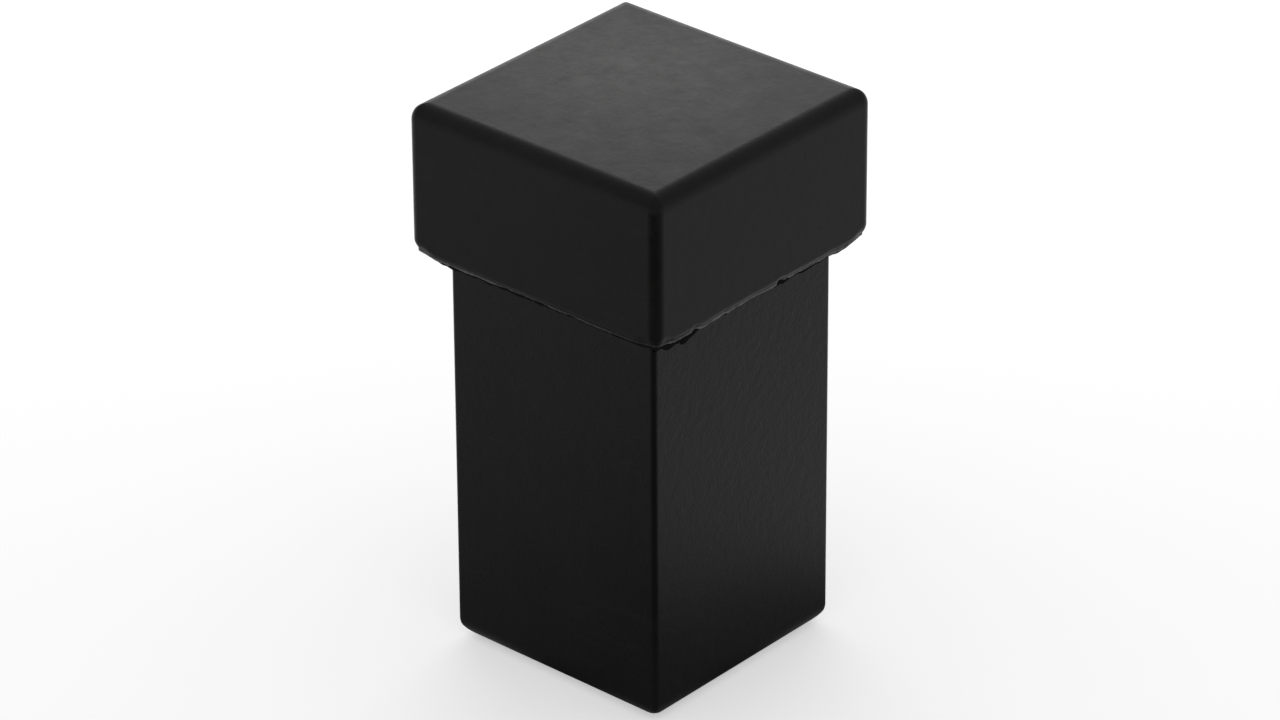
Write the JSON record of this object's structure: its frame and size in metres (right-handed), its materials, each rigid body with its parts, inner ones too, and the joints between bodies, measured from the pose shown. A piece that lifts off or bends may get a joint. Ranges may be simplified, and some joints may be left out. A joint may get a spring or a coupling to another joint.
{
  "type": "square door stop",
  "caption": "Square black door stop: a wide moulded rubber head over a narrower hollow metal body that hides its fixing boss and grub screw.",
  "frame": {"origin": "centre of the base, on the surface that the stop stands on", "axes": "+Z from the base to the rubber head's flat face; +Y to the back, where the grub screw is; +X to the right seen from the front"},
  "size_m": [0.03, 0.03, 0.0563],
  "materials": {
    "rubber": "matt moulded black rubber with a faint bloom on the flat top",
    "black_paint": "satin black powder coat with a very fine texture",
    "brass": "machined brass",
    "plated_steel": "bright zinc plate",
    "black_steel": "black oxide",
    "cast_metal": "bare light-alloy casting",
    "pad_rubber": "closed-cell rubber foam"
  },
  "bodies": {
    "base": {"mounting_boss": "cast_metal", "base_pad": "pad_rubber"},
    "housing": {"body": "black_paint"},
    "head": {"rubber_head": "rubber", "head_insert": "brass"},
    "head_fixing": {"head_screw": "plated_steel", "head_washer": "plated_steel"},
    "grub": {"grub_screw": "black_steel"}
  },
  "joints": [
    {"name": "body_lift", "type": "slide", "parent": "base", "child": "housing", "axis": [0, 0, 1], "range_m": [0, 0.02]},
    {"name": "head_pull", "type": "slide", "parent": "housing", "child": "head", "axis": [0, 0, 1], "range_m": [0, 0.013]},
    {"name": "head_screw_out", "type": "slide", "parent": "housing", "child": "head_fixing", "axis": [0, 0, -1], "range_m": [0, 0.009]},
    {"name": "grub_screw_out", "type": "slide", "parent": "housing", "child": "grub", "axis": [0, 1, 0], "range_m": [0, 0.003]}
  ]
}
